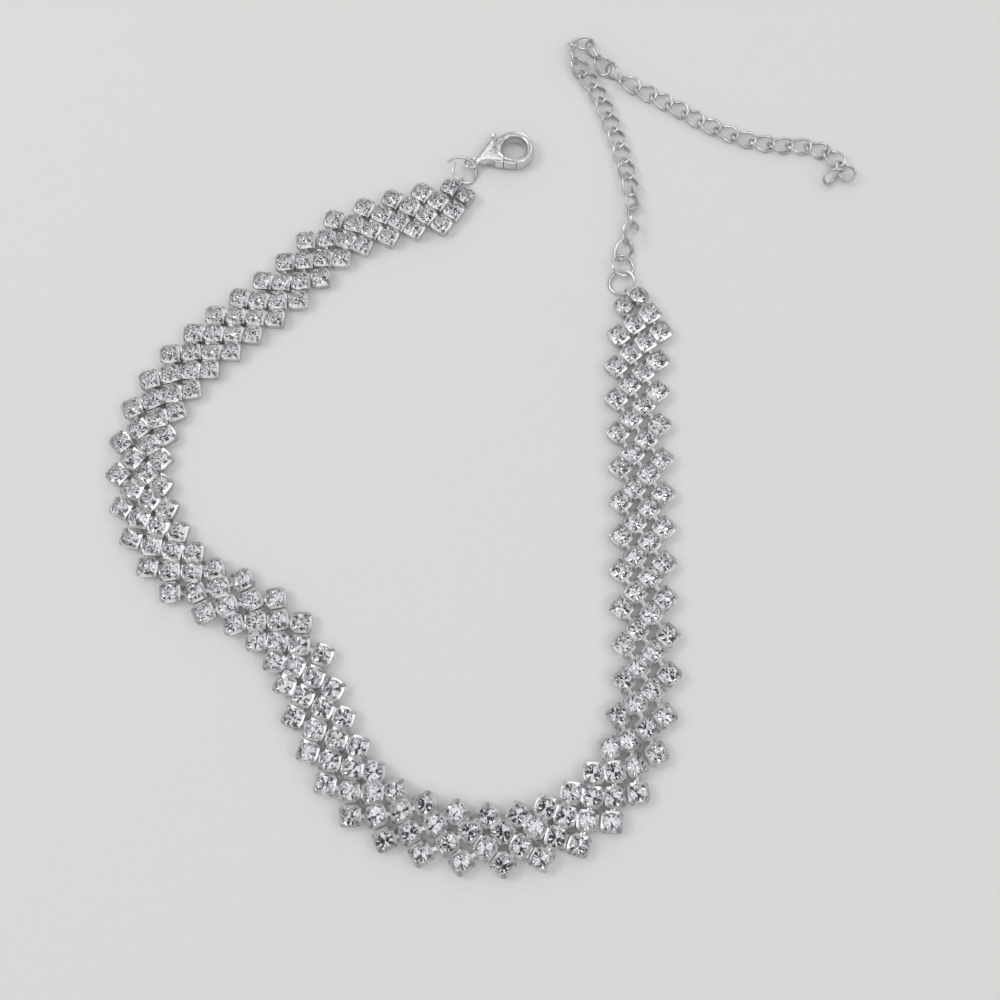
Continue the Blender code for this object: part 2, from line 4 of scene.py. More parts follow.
import bmesh
import bpy
import numpy as np
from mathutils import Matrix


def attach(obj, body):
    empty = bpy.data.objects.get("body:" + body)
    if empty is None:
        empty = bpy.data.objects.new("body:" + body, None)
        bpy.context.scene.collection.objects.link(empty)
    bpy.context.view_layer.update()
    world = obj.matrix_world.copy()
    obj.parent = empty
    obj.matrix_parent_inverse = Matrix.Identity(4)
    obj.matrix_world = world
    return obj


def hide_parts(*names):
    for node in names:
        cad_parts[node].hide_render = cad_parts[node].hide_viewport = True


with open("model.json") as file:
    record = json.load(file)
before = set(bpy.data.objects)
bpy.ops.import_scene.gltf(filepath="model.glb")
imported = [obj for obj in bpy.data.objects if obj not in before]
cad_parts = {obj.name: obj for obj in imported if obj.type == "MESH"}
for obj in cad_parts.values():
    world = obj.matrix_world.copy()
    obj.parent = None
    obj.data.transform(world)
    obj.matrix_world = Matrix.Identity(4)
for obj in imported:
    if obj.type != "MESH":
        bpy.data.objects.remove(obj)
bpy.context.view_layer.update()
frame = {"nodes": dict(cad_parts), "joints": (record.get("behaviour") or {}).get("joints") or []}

# Looks of the rhinestone choker. Lengths are in millimetres here, and become metres when a mesh is made.

MM = 0.001
NECKLACE_SHIFT = (0.612, 0.245)  # from the frame that BAND_ROUTE is drawn in to the CAD's

# Cut stones. Each has its girdle, the widest band, at the height below.
STONE_FACETS = 8
STONE_RADIUS = 1.72
STONE_GIRDLE_HEIGHT = 2.05
GIRDLE_HALF = 0.13
TABLE_RADIUS = 0.9
CROWN_HEIGHT = 0.62
PAVILION_DEPTH = 1.38
STONE_TILT = 4.5  # degrees either way, as hand-set stones have

# Cups.
CUP_HALF_SIDE = 1.98
END_CUP_HALF_SIDE = 1.75
CUP_SQUARENESS = 5.5
CUP_COLUMNS = (-28, -11, 0, 11, 28)  # degrees from each corner: side, prong, notch, prong, side
CUP_FOOT = 0.9  # the foot's width as a share of the rim's
CUP_RIM_HEIGHTS = (1.95, 2.0, 1.3, 2.0, 1.95)  # of the outer edge at those columns
CUP_LIP_HEIGHTS = (2.12, 2.44, 1.75, 2.44, 2.12)  # of the inner edge, which is bent over the stone
CUP_LIP_RADII = (1.74, 1.58, 1.76, 1.58, 1.74)
CUP_SEAT_RADIUS = 0.35
CUP_SEAT_HEIGHT = 0.45

# The band, as the CAD has it: tracks run along it, 0 at the neck and 3 outside, and rows run aslant across.
ROWS = 52
MIDDLE_TRACK = 1.5
TRACK_SPACING = 2.75
ROW_LAG = 2.9
SLOPE_HALF_STEP = 0.05  # in rows, to each side of where the band's slope is taken
FULL_ROW = (0, 1, 2, 3)
SHORT_ROWS = {1: (0, 1), 2: (0, 1, 2), ROWS - 1: (1, 2, 3), ROWS: (2, 3)}
SOLDERED_TRACKS = ((0, 1), (2, 3))
# The band's middle line, listed as row, x, y.
BAND_ROUTE = [
    (1, 30.0, 25.5), (3.5, 27.5, 9.5), (7, 27.5, -15.5), (10, 27.0, -36.0), (13, 26.5, -57.0),
    (15, 22.5, -70.0), (17, 13.5, -78.5), (20, -4.0, -82.0), (23, -22.5, -76.0), (26, -33.0, -61.0),
    (28, -37.5, -49.5), (30, -46.0, -41.0), (32, -58.0, -35.5), (34, -66.0, -26.5), (36, -70.0, -15.5),
    (38, -69.5, -3.5), (40, -64.0, 7.5), (42, -56.0, 16.0), (45, -43.0, 27.5), (47, -34.0, 37.5),
    (49, -23.0, 42.5), (52, -5.5, 46.5),
]
BAR_HALF_WIDTH = 0.55
BAR_HALF_THICK = 0.25
BAR_HEIGHT = 0.85
BAR_WAIST = 0.3  # share of the width that is lost at the middle
BAR_REACH = 1.5  # how near to a cup's middle a bar ends
BAR_STATIONS = 5
BAR_SIDES = 8
CAD_CUP_HALF_SIDE = 1.7

# Wire loops and jump rings.
END_LOOP_WIRE = 0.4
END_LOOP_RADIUS = 0.76
END_LOOP_ROOT = 1.2  # how near to the cups' middle its two ends come
END_LOOPS = (("neck_end_loop", 110, 0.55, 1.03), ("clasp_end_loop", 75, 1.1, 1.135))  # name, bearing, leg, height
RING_WIRE = 0.6
END_RING_RADII = {"end_ring_1": 2.6, "end_ring_2": 2.35}
RING_SIDES = 16
JOINT_GAP = 0.06
END_RING_JOINT = 20  # degrees from the ring's own first axis
CLASP_RING_RADIUS = 2.6
CLASP_RING_CENTRE = (-6.858, 54.067, 1.487)
CLASP_RING_HEADING = 57
CLASP_RING_ROLL = 26
CLASP_RING_START = 145
CLASP_RING_TURN = 380
CLASP_RING_SPREAD = 1.4
CLASP_RING_SPREADS_OVER = 110

# Curb links.
LINKS = 33
LINK_HALF_LENGTH = 2.55
LINK_HALF_WIDTH = 1.65
LINK_TWIST = 0.6
LINK_WIRE = 0.6
LINK_STEPS = 48

# Clasp, in its own frame: the rivet is the origin, and +X points from the eye to the claw.
CLASP_HEADING = 18
CLAW_CENTRE = (5.2, -0.6)
CLAW_RADIUS = 4.2
HOLE_RADIUS = 2.5
CLASP_DISCS = ((-2.6, -0.6, 0.9), (1.3, 0.35, 2.7), (*CLAW_CENTRE, CLAW_RADIUS))  # x, y, radius
CLASP_THICK = 2.8
NECK_THICK = 1.5
SECTION_ROUNDNESS = 0.7  # 1 is an oval, less is squarer
NOTCH = (-1.0, -2.9, 1.2)
EYE_CENTRE = (-4.525, -0.6)
EYE_RADIUS = 1.3
EYE_WIRE = 0.55
EYE_ROLL = -10
RIVET_RADIUS = 0.42
RIVET_DOME = 0.03
RIVET_LENGTH = 2.4
CASTING_VOXEL = 0.08
SOFTEN_FACTOR = 0.5  # how far each pass moves a corner to the middle of its neighbours
SOFTEN_PASSES = 4

# Its lever. Angles are about the rivet.
LEVER_THICK = 0.9
LEVER_OPENS = 30
SLACK = 0.12
SLOT_MARGIN = 4  # degrees that the slots reach past the lever's swing
HUB_RADIUS = 0.95
HUB_BORE_RADIUS = 0.54
HUB_ROUNDNESS = 0.4
KNOB_ANGLE = 65
KNOB_REACH = 4.85
KNOB_RADIUS = 0.65
ARM_HALF_WIDTH = 0.42
ARM_FOOT = (0.75, 34)  # radius, and degrees to each side
ARM_SLOT_REACH = 10
ROOT_ANGLE = -48
ROOT_REACH = 3.95
ROOT_HALF_WIDTH = 0.55
ROOT_FOOT = (0.8, 42)
ROOT_SLOT_REACH = 4.35
GATE_THICK = 2.3
GATE_START = (3.15, -38)  # radius, angle
GATE_ROOT = (4.2, -65.5)
GATE_REACH = 6.2
GATE_ANGLES = (-46, -31)
GATE_WAY_MARGIN = 3
GATE_WAY_LOW_ANGLE = -78
GATE_WAY_TOP = (4.65, -14)
GATE_WAY_START_ANGLE = -3
GATE_WAY_START_MARGIN = 1
GATE_WAY_ROOT_MARGIN = 2
LEVER_VOXEL = 0.07

# Camera: how far it leans back from straight down, and the point of the floor in the middle of its view.
CAMERA_LEAN = 17
CAMERA_DISTANCE = 211.5
CAMERA_AIM = (0.612, -19.355, 2.4)
CAMERA_LENS = 39.6
CAMERA_SENSOR = 36
FLOOR = 6000  # half its side

# Lamps: place, side and watts. They face the middle of the necklace.
LAMPS = {
    "key_light": ((-540, 100, 560), 320, 1.2),
    "fill_light": ((450, -250, 500), 220, 0.5),
    "back_light": ((150, 650, 350), 220, 0.45),
}
# The tent round the floor: its plain part, and overhead its dimmest and brightest patches.
TENT_LEVEL = 0.5
TENT_DIMMEST = 0.08
TENT_BRIGHTEST = 1.45
TENT_RISE = (0.4, 0.65)  # the share of straight up over which the patches set in

rng = np.random.default_rng(7)


# Camera.

camera = bpy.data.objects.new("camera", bpy.data.cameras.new("camera"))
bpy.context.scene.collection.objects.link(camera)
lean = math.radians(CAMERA_LEAN)
camera.location = np.add(CAMERA_AIM, (0, -CAMERA_DISTANCE * math.sin(lean), CAMERA_DISTANCE * math.cos(lean))) * MM
camera.rotation_euler = (lean, 0, 0)
camera.data.lens = CAMERA_LENS
camera.data.sensor_width = CAMERA_SENSOR
camera.data.clip_start = 0.005
camera.data.clip_end = 20
bpy.context.scene.camera = camera


# Materials.

def linear(hex_colour):
    """sRGB hex to linear: a channel c is c / 12.92 up to 0.04045, and ((c + 0.055) / 1.055) to the 2.4 above."""
    c = np.array([int(hex_colour[n:n + 2], 16) for n in (1, 3, 5)]) / 255
    c = np.where(c <= 0.04045, c / 12.92, ((c + 0.055) / 1.055) ** 2.4)
    return (*c.tolist(), 1.0)


def node(tree, kind, settings, inputs):
    """Adds a node with its settings, and with a value or another node's output for each named input."""
    made = tree.nodes.new("ShaderNode" + kind)
    for name, value in settings.items():
        setattr(made, name, value)
    for name, value in inputs.items():
        if isinstance(value, bpy.types.NodeSocket):
            tree.links.new(value, made.inputs[name])
        else:
            made.inputs[name].default_value = value
    return made


def new_material(name):
    """An empty material, its tree, its surface shader and its Object coordinates."""
    made = bpy.data.materials.new(name)
    made.use_nodes = True
    tree = made.node_tree
    place = node(tree, "TexCoord", {}, {}).outputs["Object"]
    return made, tree, tree.nodes["Principled BSDF"], place


def plated_metal(name, bright, dull, smooth, worn, grain_mm, relief_mm, relief_depth_mm):
    """Silver plate: its colour and gloss drift in soft patches, with fine grain and a shallow relief on top."""
    made, tree, surface, place = new_material(name)
    surface.inputs["Metallic"].default_value = 1.0
    patches = node(tree, "TexNoise", {}, {"Vector": place, "Scale": 1000 / 2.5, "Detail": 2.0}).outputs["Fac"]
    grain = node(tree, "TexNoise", {}, {"Vector": place, "Scale": 1000 / grain_mm, "Detail": 3.0}).outputs["Fac"]
    blend = node(tree, "MapRange", {}, {"Value": patches, "From Min": 0.4, "From Max": 0.65}).outputs["Result"]
    colour = node(tree, "Mix", {"data_type": "RGBA"}, {0: blend, 6: linear(bright), 7: linear(dull)}).outputs[2]
    tree.links.new(colour, surface.inputs["Base Color"])
    rough = node(tree, "MapRange", {}, {"Value": grain, "From Min": 0.3, "From Max": 0.7, "To Min": smooth,
                                        "To Max": worn}).outputs["Result"]
    tree.links.new(rough, surface.inputs["Roughness"])
    relief = node(tree, "TexNoise", {}, {"Vector": place, "Scale": 1000 / relief_mm, "Detail": 1.0}).outputs["Fac"]
    bump = node(tree, "Bump", {}, {"Height": relief, "Distance": relief_depth_mm * MM, "Strength": 1.0})
    tree.links.new(bump.outputs["Normal"], surface.inputs["Normal"])
    return made


# Brass cup chain, stamped and silver plated: bright, with soft tumbled edges and hardly any grain.
cup_silver = plated_metal("stamped_brass_silver_plated", "#dfe0e1", "#c3c4c6", 0.2, 0.36, 0.12, 0.9, 0.03)
# Iron wire, drawn, cut and silver plated: a thin plate that looks a little greyer than the cups.
chain_silver = plated_metal("drawn_wire_silver_plated", "#d5d6d9", "#aeb0b4", 0.16, 0.34, 0.08, 0.5, 0.015)
# The jump rings' wire is the same, but newer and brighter.
ring_silver = plated_metal("ring_wire_silver_plated", "#dfe0e3", "#bcbec2", 0.14, 0.3, 0.08, 0.5, 0.015)
# Zinc alloy, cast, tumbled and silver plated: bright, with the shallow dents that tumbling leaves.
clasp_silver = plated_metal("cast_zinc_silver_plated", "#dfe0e1", "#c9cacc", 0.17, 0.28, 0.15, 2.2, 0.12)


def clear_glass():
    """Lead glass, machine cut and polished: clear and sharp, with faint smears from handling."""
    made, tree, surface, place = new_material("lead_glass_machine_cut")
    surface.inputs["Base Color"].default_value = linear("#ffffff")
    surface.inputs["Transmission Weight"].default_value = 1.0
    surface.inputs["IOR"].default_value = 1.56
    smears = node(tree, "TexNoise", {}, {"Vector": place, "Scale": 1000 / 1.4, "Detail": 2.0}).outputs["Fac"]
    rough = node(tree, "MapRange", {}, {"Value": smears, "From Min": 0.5, "From Max": 0.8, "To Min": 0.0,
                                        "To Max": 0.02}).outputs["Result"]
    tree.links.new(rough, surface.inputs["Roughness"])
    return made


def mirror_foil():
    """Mirror coating on the back of a stone: silver, laid on thin, so that it sends the light back up."""
    made, tree, surface, place = new_material("silver_mirror_coating")
    surface.inputs["Metallic"].default_value = 1.0
    surface.inputs["Base Color"].default_value = linear("#dcdddf")
    specks = node(tree, "TexNoise", {}, {"Vector": place, "Scale": 1000 / 0.3, "Detail": 2.0}).outputs["Fac"]
    rough = node(tree, "MapRange", {}, {"Value": specks, "From Min": 0.5, "From Max": 0.8, "To Min": 0.0,
                                        "To Max": 0.05}).outputs["Result"]
    tree.links.new(rough, surface.inputs["Roughness"])
    return made


def pale_card():
    """Matt card, uncoated: pale, and without a sheen of its own."""
    made, tree, surface, place = new_material("uncoated_pale_card")
    fibres = node(tree, "TexNoise", {}, {"Vector": place, "Scale": 1000 / 0.8, "Detail": 4.0}).outputs["Fac"]
    colour = node(tree, "Mix", {"data_type": "RGBA"}, {0: fibres, 6: linear("#d3d3d1"), 7: linear("#d9d9d7")})
    tree.links.new(colour.outputs[2], surface.inputs["Base Color"])
    surface.inputs["Roughness"].default_value = 0.85
    return made


glass = clear_glass()
foil = mirror_foil()


# Meshes.

def grid_faces(rows, columns, rows_close=False, columns_close=True):
    """Quads between neighbours in a grid of points that is numbered row by row."""
    r = np.arange(rows if rows_close else rows - 1)[:, None]
    c = np.arange(columns if columns_close else columns - 1)[None, :]
    after_r = (r + 1) % rows
    after_c = (c + 1) % columns
    corners = (r * columns + c, r * columns + after_c, after_r * columns + after_c, after_r * columns + c)
    return np.stack(corners, -1).reshape(-1, 4).tolist()


def repeated(points, faces, places, headings, tilts=None):
    """Copies of one shape: each is turned about Z by its heading, leaned by its tilt and moved to its place."""
    c, s = np.cos(headings), np.sin(headings)
    zero, one = np.zeros_like(c), np.ones_like(c)
    turn = np.stack([c, -s, zero, s, c, zero, zero, zero, one], -1).reshape(-1, 3, 3)
    if tilts is not None:
        a, b = tilts[:, 0], tilts[:, 1]
        lean = np.stack([one, a * 0, b, zero, one, a, -b, -a, one], -1).reshape(-1, 3, 3)
        turn = lean @ turn
    moved = np.einsum("nij,pj->npi", turn, points) + places[:, None]
    copies = [[n + k * len(points) for n in face] for k in range(len(places)) for face in faces]
    return moved.reshape(-1, 3), copies


def add_mesh(name, points, faces, materials, finishes=None, smooth_below=40):
    """A mesh object at the origin. Faces that meet at less than smooth_below degrees are shaded as one."""
    mesh = bpy.data.meshes.new(name)
    mesh.from_pydata((np.asarray(points) * MM).tolist(), [], faces)
    for material in materials:
        mesh.materials.append(material)
    if finishes is not None:
        mesh.polygons.foreach_set("material_index", np.asarray(finishes, np.int32))
    if smooth_below:
        mesh.shade_smooth()
        mesh.set_sharp_from_angle(angle=math.radians(smooth_below))
    mesh.validate()
    made = bpy.data.objects.new(name, mesh)
    bpy.context.scene.collection.objects.link(made)
    return made


def settle(piece, body, nodes):
    """Lets a piece ride on a body and stand for the CAD nodes, which are hidden."""
    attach(piece, body)
    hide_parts(*nodes)
    return piece


def wire(path, wire_width, up, sides=12, closed=True):
    """A round wire: a circle carried along the path, square to it, with one of its axes as near up as can be."""
    path = np.asarray(path, float)
    if closed:
        along = np.roll(path, -1, 0) - np.roll(path, 1, 0)
    else:
        along = np.gradient(path, axis=0)
    along /= np.linalg.norm(along, axis=1, keepdims=True)
    side = np.cross(along, up)
    side /= np.linalg.norm(side, axis=1, keepdims=True)
    lift = np.cross(side, along)
    turn = np.linspace(0, math.tau, sides, endpoint=False)
    ring = np.cos(turn)[None, :, None] * side[:, None] + np.sin(turn)[None, :, None] * lift[:, None]
    points = (path[:, None] + ring * wire_width / 2).reshape(-1, 3)
    faces = grid_faces(len(path), sides, rows_close=closed)
    if not closed:
        last = len(points) - sides
        faces += [list(range(sides))[::-1], list(range(last, last + sides))]
    return points, faces


def node_frame(name):
    """A CAD node's middle and principal axes, longest first, from the spread of its corners."""
    mesh = frame["nodes"][name].data
    corners = np.empty(len(mesh.vertices) * 3)
    mesh.vertices.foreach_get("co", corners)
    corners = np.unique(corners.reshape(-1, 3).round(8), axis=0) / MM
    middle = corners.mean(0)
    axes = np.linalg.svd(corners - middle, full_matrices=False)[2]
    axes[2] *= np.sign(np.linalg.det(axes))
    return middle, axes


# Where the stones lie.

def band_points(rows):
    """The band's middle line: on each span of BAND_ROUTE, the cubic with the route's points and mean slopes."""
    route = np.array(BAND_ROUTE)
    knots = route[:, 0]
    slopes = np.gradient(route[:, 1:], knots, axis=0)
    n = np.clip(np.searchsorted(knots, rows, side="right") - 1, 0, len(knots) - 2)
    span = (knots[n + 1] - knots[n])[:, None]
    u = (rows[:, None] - knots[n][:, None]) / span
    return (
        (2 * u**3 - 3 * u**2 + 1) * route[n, 1:] + (u**3 - 2 * u**2 + u) * span * slopes[n]
        + (3 * u**2 - 2 * u**3) * route[n + 1, 1:] + (u**3 - u**2) * span * slopes[n + 1]
    )


def band_steps(rows):
    """How far the middle line moves in one row: the difference of two points close by, over what parts them."""
    return (band_points(rows + SLOPE_HALF_STEP) - band_points(rows - SLOPE_HALF_STEP)) / (2 * SLOPE_HALF_STEP)


def stone_places(rows, tracks):
    """Stone centres in plan: off the middle line, square to it, by the tracks from its middle, and behind by the
    rows' slant: ROW_LAG a track, counted in rows."""
    offset = (tracks - MIDDLE_TRACK)[:, None]
    nearest = rows - offset[:, 0] * ROW_LAG / np.linalg.norm(band_steps(rows), axis=1)
    along = band_steps(nearest)
    along /= np.linalg.norm(along, axis=1, keepdims=True)
    outward = np.stack([-along[:, 1], along[:, 0]], -1)
    return band_points(nearest) + outward * offset * TRACK_SPACING + NECKLACE_SHIFT


stones = [(row, track) for row in range(1, ROWS + 1) for track in SHORT_ROWS.get(row, FULL_ROW)]
stone_rows, stone_tracks = np.array(stones, float).T
places = stone_places(stone_rows, stone_tracks)
place_of = dict(zip(stones, places))
heading_of = {}
for row in range(1, ROWS + 1):
    tracks = SHORT_ROWS.get(row, FULL_ROW)
    for soldered in SOLDERED_TRACKS:
        held = [track for track in soldered if track in tracks]
        ends = held if len(held) == 2 else (tracks[0], tracks[-1])
        across = place_of[row, ends[1]] - place_of[row, ends[0]]
        heading_of.update({(row, track): math.atan2(across[1], across[0]) for track in held})
headings = np.array([heading_of[stone] for stone in stones])


# Stones.

def polar_points(radius, degrees, height):
    """Points at a height: the radius times the cosine, and times the sine, of each angle."""
    turn = np.radians(degrees)
    return np.stack([radius * np.cos(turn), radius * np.sin(turn), np.full(len(turn), height)], -1)


def cut_stone():
    """A table with eight flat slopes down to the girdle, and eight more from the girdle to the point below. The
    girdle is a band whose edges are scalloped, because a flat slope meets the round side lower at its middle by
    its steepness times what the circle bulges past the chord."""
    mains = np.arange(STONE_FACETS) * 360 / STONE_FACETS
    between = mains + 180 / STONE_FACETS
    cosine = math.cos(math.pi / STONE_FACETS)
    bulge = STONE_RADIUS * (1 - cosine)
    crown_dip = bulge * CROWN_HEIGHT / ((STONE_RADIUS - TABLE_RADIUS) * cosine)
    pavilion_dip = bulge * PAVILION_DEPTH / (STONE_RADIUS * cosine)
    points = np.concatenate([
        polar_points(TABLE_RADIUS, mains, GIRDLE_HALF + CROWN_HEIGHT),
        polar_points(STONE_RADIUS, mains, GIRDLE_HALF),
        polar_points(STONE_RADIUS, between, GIRDLE_HALF - crown_dip),
        polar_points(STONE_RADIUS, mains, -GIRDLE_HALF),
        polar_points(STONE_RADIUS, between, pavilion_dip - GIRDLE_HALF),
        [[0, 0, -GIRDLE_HALF - PAVILION_DEPTH]],
    ])
    table, top, top_dip, low, low_dip, culet = (STONE_FACETS * n for n in range(6))
    crown = [list(range(STONE_FACETS))]
    pavilion = []
    for k in range(STONE_FACETS):
        after = (k + 1) % STONE_FACETS
        crown += [
            [table + k, top + k, top_dip + k, top + after, table + after],
            [top + k, low + k, low_dip + k, top_dip + k],
            [top_dip + k, low_dip + k, low + after, top + after],
        ]
        pavilion.append([low + k, culet, low + after, low_dip + k])
    return points, crown, pavilion


points, crown, pavilion = cut_stone()
tilts = np.radians(rng.uniform(-STONE_TILT, STONE_TILT, (len(stones), 2)))
spins = rng.uniform(0, math.tau, len(stones))
stone_middles = np.column_stack([places, np.full(len(places), STONE_GIRDLE_HEIGHT)])
points, faces = repeated(points, crown + pavilion, stone_middles, spins, tilts)
rhinestones = add_mesh("rhinestones", points, faces, [glass, foil],
                       finishes=([0] * len(crown) + [1] * len(pavilion)) * len(stones), smooth_below=0)
settle(rhinestones, "necklace", ["rhinestone_band"])


# Cups.

def cup(half_side):
    """A rounded square cup with a lip bent over the stone, notched at its four corners. Its plan is the curve on
    which the sum of |x| and |y|, each over the half side and to the power CUP_SQUARENESS, is one."""
    way = np.radians([45 + 90 * corner + column for corner in range(4) for column in CUP_COLUMNS])
    power = CUP_SQUARENESS
    outline = half_side / (np.abs(np.cos(way)) ** power + np.abs(np.sin(way)) ** power) ** (1 / power)
    rings = (
        (outline * CUP_FOOT, np.zeros(len(way))),
        (outline, np.tile(CUP_RIM_HEIGHTS, 4)),
        (np.tile(CUP_LIP_RADII, 4), np.tile(CUP_LIP_HEIGHTS, 4)),
        (np.full(len(way), CUP_SEAT_RADIUS), np.full(len(way), CUP_SEAT_HEIGHT)),
    )
    points = [np.stack([r * np.cos(way), r * np.sin(way), z], -1) for r, z in rings]
    last = len(way) * (len(rings) - 1)
    faces = grid_faces(len(rings), len(way)) + [list(range(len(way)))[::-1], list(range(last, last + len(way)))]
    return np.concatenate(points), faces


at_end = (stone_rows == 1) | (stone_rows == ROWS)
cup_points, cup_faces = [], []
for half_side, chosen in ((CUP_HALF_SIDE, ~at_end), (END_CUP_HALF_SIDE, at_end)):
    points, faces = cup(half_side)
    floor_places = np.column_stack([places[chosen], np.zeros(chosen.sum())])
    points, faces = repeated(points, faces, floor_places, headings[chosen])
    before = sum(len(p) for p in cup_points)
    cup_points.append(points)
    cup_faces += [[n + before for n in face] for face in faces]
cups = add_mesh("stone_cups", np.concatenate(cup_points), cup_faces, [cup_silver], smooth_below=58)
settle(cups, "necklace", ["rhinestone_band"])


# Link bars between the cups of neighbouring rows.

def bars(starts, ends):
    """Flat bars with a narrow waist: a flattened ring at each station between two cups. Its width shrinks by
    BAR_WAIST times the square of the sine of half a turn's share of the way."""
    across = ends - starts
    length = np.linalg.norm(across, axis=1)[:, None]
    along = across / length
    side = np.stack([-along[:, 1], along[:, 0]], -1)
    station = np.linspace(0, 1, BAR_STATIONS)
    waist = 1 - BAR_WAIST * np.sin(math.pi * station) ** 2
    reach = BAR_REACH + (length - 2 * BAR_REACH) * station
    turn = math.tau * (np.arange(BAR_SIDES) + 0.5) / BAR_SIDES
    wide = BAR_HALF_WIDTH * np.cos(turn)[None, :] * waist[:, None]
    tall = np.broadcast_to(BAR_HEIGHT + BAR_HALF_THICK * np.sin(turn)[None, :], wide.shape)
    middle = starts[:, None] + along[:, None] * reach[..., None]
    plan = middle[:, :, None] + side[:, None, None] * wide[None, ..., None]
    points = np.concatenate([plan, np.broadcast_to(tall[None, ..., None], (*plan.shape[:3], 1))], -1)
    count = BAR_STATIONS * BAR_SIDES
    one = grid_faces(BAR_STATIONS, BAR_SIDES) + [list(range(BAR_SIDES))[::-1], list(range(count - BAR_SIDES, count))]
    faces = [[n + count * k for n in face] for k in range(len(starts)) for face in one]
    return points.reshape(-1, 3), faces


joined = [(stone, (stone[0] + 1, stone[1] + 1)) for stone in stones if (stone[0] + 1, stone[1] + 1) in place_of]
points, faces = bars(np.array([place_of[a] for a, b in joined]), np.array([place_of[b] for a, b in joined]))
link_bars = add_mesh("link_bars", points, faces, [cup_silver], smooth_below=50)
settle(link_bars, "necklace", ["rhinestone_band"])


# Wire loops at the band's ends.

end_middles = ((place_of[1, 0] + place_of[1, 1]) / 2, (place_of[ROWS, 2] + place_of[ROWS, 3]) / 2)
for (name, bearing, leg, height), middle in zip(END_LOOPS, end_middles):
    bend = np.radians(np.linspace(-90, 90, 17))
    reach = CAD_CUP_HALF_SIDE + leg + END_LOOP_RADIUS * np.cos(bend)
    rise = END_LOOP_RADIUS * np.sin(bend)
    reach = np.concatenate([[END_LOOP_ROOT], reach, [END_LOOP_ROOT]])
    rise = np.concatenate([[-END_LOOP_RADIUS], rise, [END_LOOP_RADIUS]])
    out = np.array([math.cos(math.radians(bearing)), math.sin(math.radians(bearing))])
    path = np.column_stack([middle + reach[:, None] * out, height + rise])
    points, faces = wire(path, END_LOOP_WIRE, (-out[1], out[0], 0), closed=False)
    loop = add_mesh(name, points, faces, [ring_silver])
    settle(loop, "necklace", ["rhinestone_band"])


# Jump rings.

def ring_path(radius, start, turn, spread=0, spreads_over=1, steps=72):
    """A circle, or more than a circle, whose end swings out: its radius grows by the square of the share done."""
    degrees = np.linspace(0, turn, steps + 1)
    share = np.clip(degrees - turn + spreads_over, 0, None) / spreads_over
    return polar_points(1, start + degrees, 0) * (radius + spread * share**2)[:, None]


for name, radius in END_RING_RADII.items():
    middle, axes = node_frame(name)
    joint_degrees = math.degrees(JOINT_GAP / radius)
    path = ring_path(radius, END_RING_JOINT, 360 - joint_degrees)
    points, faces = wire(middle + path @ axes, RING_WIRE, axes[2], sides=RING_SIDES, closed=False)
    ring = add_mesh(name + "_wire", points, faces, [ring_silver])
    settle(ring, "necklace", [name])

heading, roll = math.radians(CLASP_RING_HEADING), math.radians(CLASP_RING_ROLL)
turn = np.array([[math.cos(heading), -math.sin(heading), 0], [math.sin(heading), math.cos(heading), 0], [0, 0, 1]])
turn = turn @ np.array([[1, 0, 0], [0, math.cos(roll), -math.sin(roll)], [0, math.sin(roll), math.cos(roll)]])
path = ring_path(CLASP_RING_RADIUS, CLASP_RING_START - CLASP_RING_HEADING, CLASP_RING_TURN, CLASP_RING_SPREAD,
                 CLASP_RING_SPREADS_OVER)
path = np.array(CLASP_RING_CENTRE) + path @ turn.T
points, faces = wire(path, RING_WIRE, turn[:, 2], sides=RING_SIDES, closed=False)
ring = add_mesh("clasp_ring_wire", points, faces, [ring_silver])
settle(ring, "necklace", ["clasp_ring"])


# Extender chain. A link is an oval whose height follows the sine of twice the angle, so that it is twisted. It is
# open by a hair at one side, where its wire was cut.

joint = math.degrees(JOINT_GAP / LINK_HALF_LENGTH)
turn = np.radians(np.linspace(90 + joint / 2, 450 - joint / 2, LINK_STEPS + 1))
link_path = np.stack([
    LINK_HALF_LENGTH * np.cos(turn), LINK_HALF_WIDTH * np.sin(turn), LINK_TWIST * np.sin(2 * turn)
], -1)
for number in range(1, LINKS + 1):
    name = f"chain_link_{number:02d}"
    middle, axes = node_frame(name)
    points, faces = wire(middle + link_path @ axes, LINK_WIRE, axes[2], closed=False)
    link = add_mesh(name + "_wire", points, faces, [chain_silver])
    settle(link, "necklace", [name])


# Clasp.

rivet = np.array(frame["joints"][0]["pos_m"]) / MM
heading = math.radians(CLASP_HEADING)
CLASP_TURN = np.array([[math.cos(heading), -math.sin(heading), 0], [math.sin(heading), math.cos(heading), 0],
                       [0, 0, 1]])


def claw_outline(degrees):
    """How far the teardrop reaches from the claw's middle at each angle: the edge of the shape stretched round
    CLASP_DISCS, whose point for a direction is the disc that reaches furthest that way, less the notch."""
    way = np.radians(np.linspace(0, 360, 721)[:-1])
    normal = np.stack([np.cos(way), np.sin(way)], -1)
    x, y, r = np.array(CLASP_DISCS).T
    best = (np.stack([x, y], -1) @ normal.T + r[:, None]).argmax(0)
    edge = np.stack([x[best], y[best]], -1) + r[best][:, None] * normal
    edge = np.concatenate([edge, edge[:1]])
    run = np.concatenate([[0], np.cumsum(np.linalg.norm(np.diff(edge, axis=0), axis=1))])
    even = np.linspace(0, run[-1], 1500)
    edge = np.stack([np.interp(even, run, edge[:, 0]), np.interp(even, run, edge[:, 1])], -1) - CLAW_CENTRE
    angle = np.degrees(np.arctan2(edge[:, 1], edge[:, 0]))
    order = np.argsort(angle)
    return np.interp(degrees, angle[order], np.linalg.norm(edge, axis=1)[order], period=360)


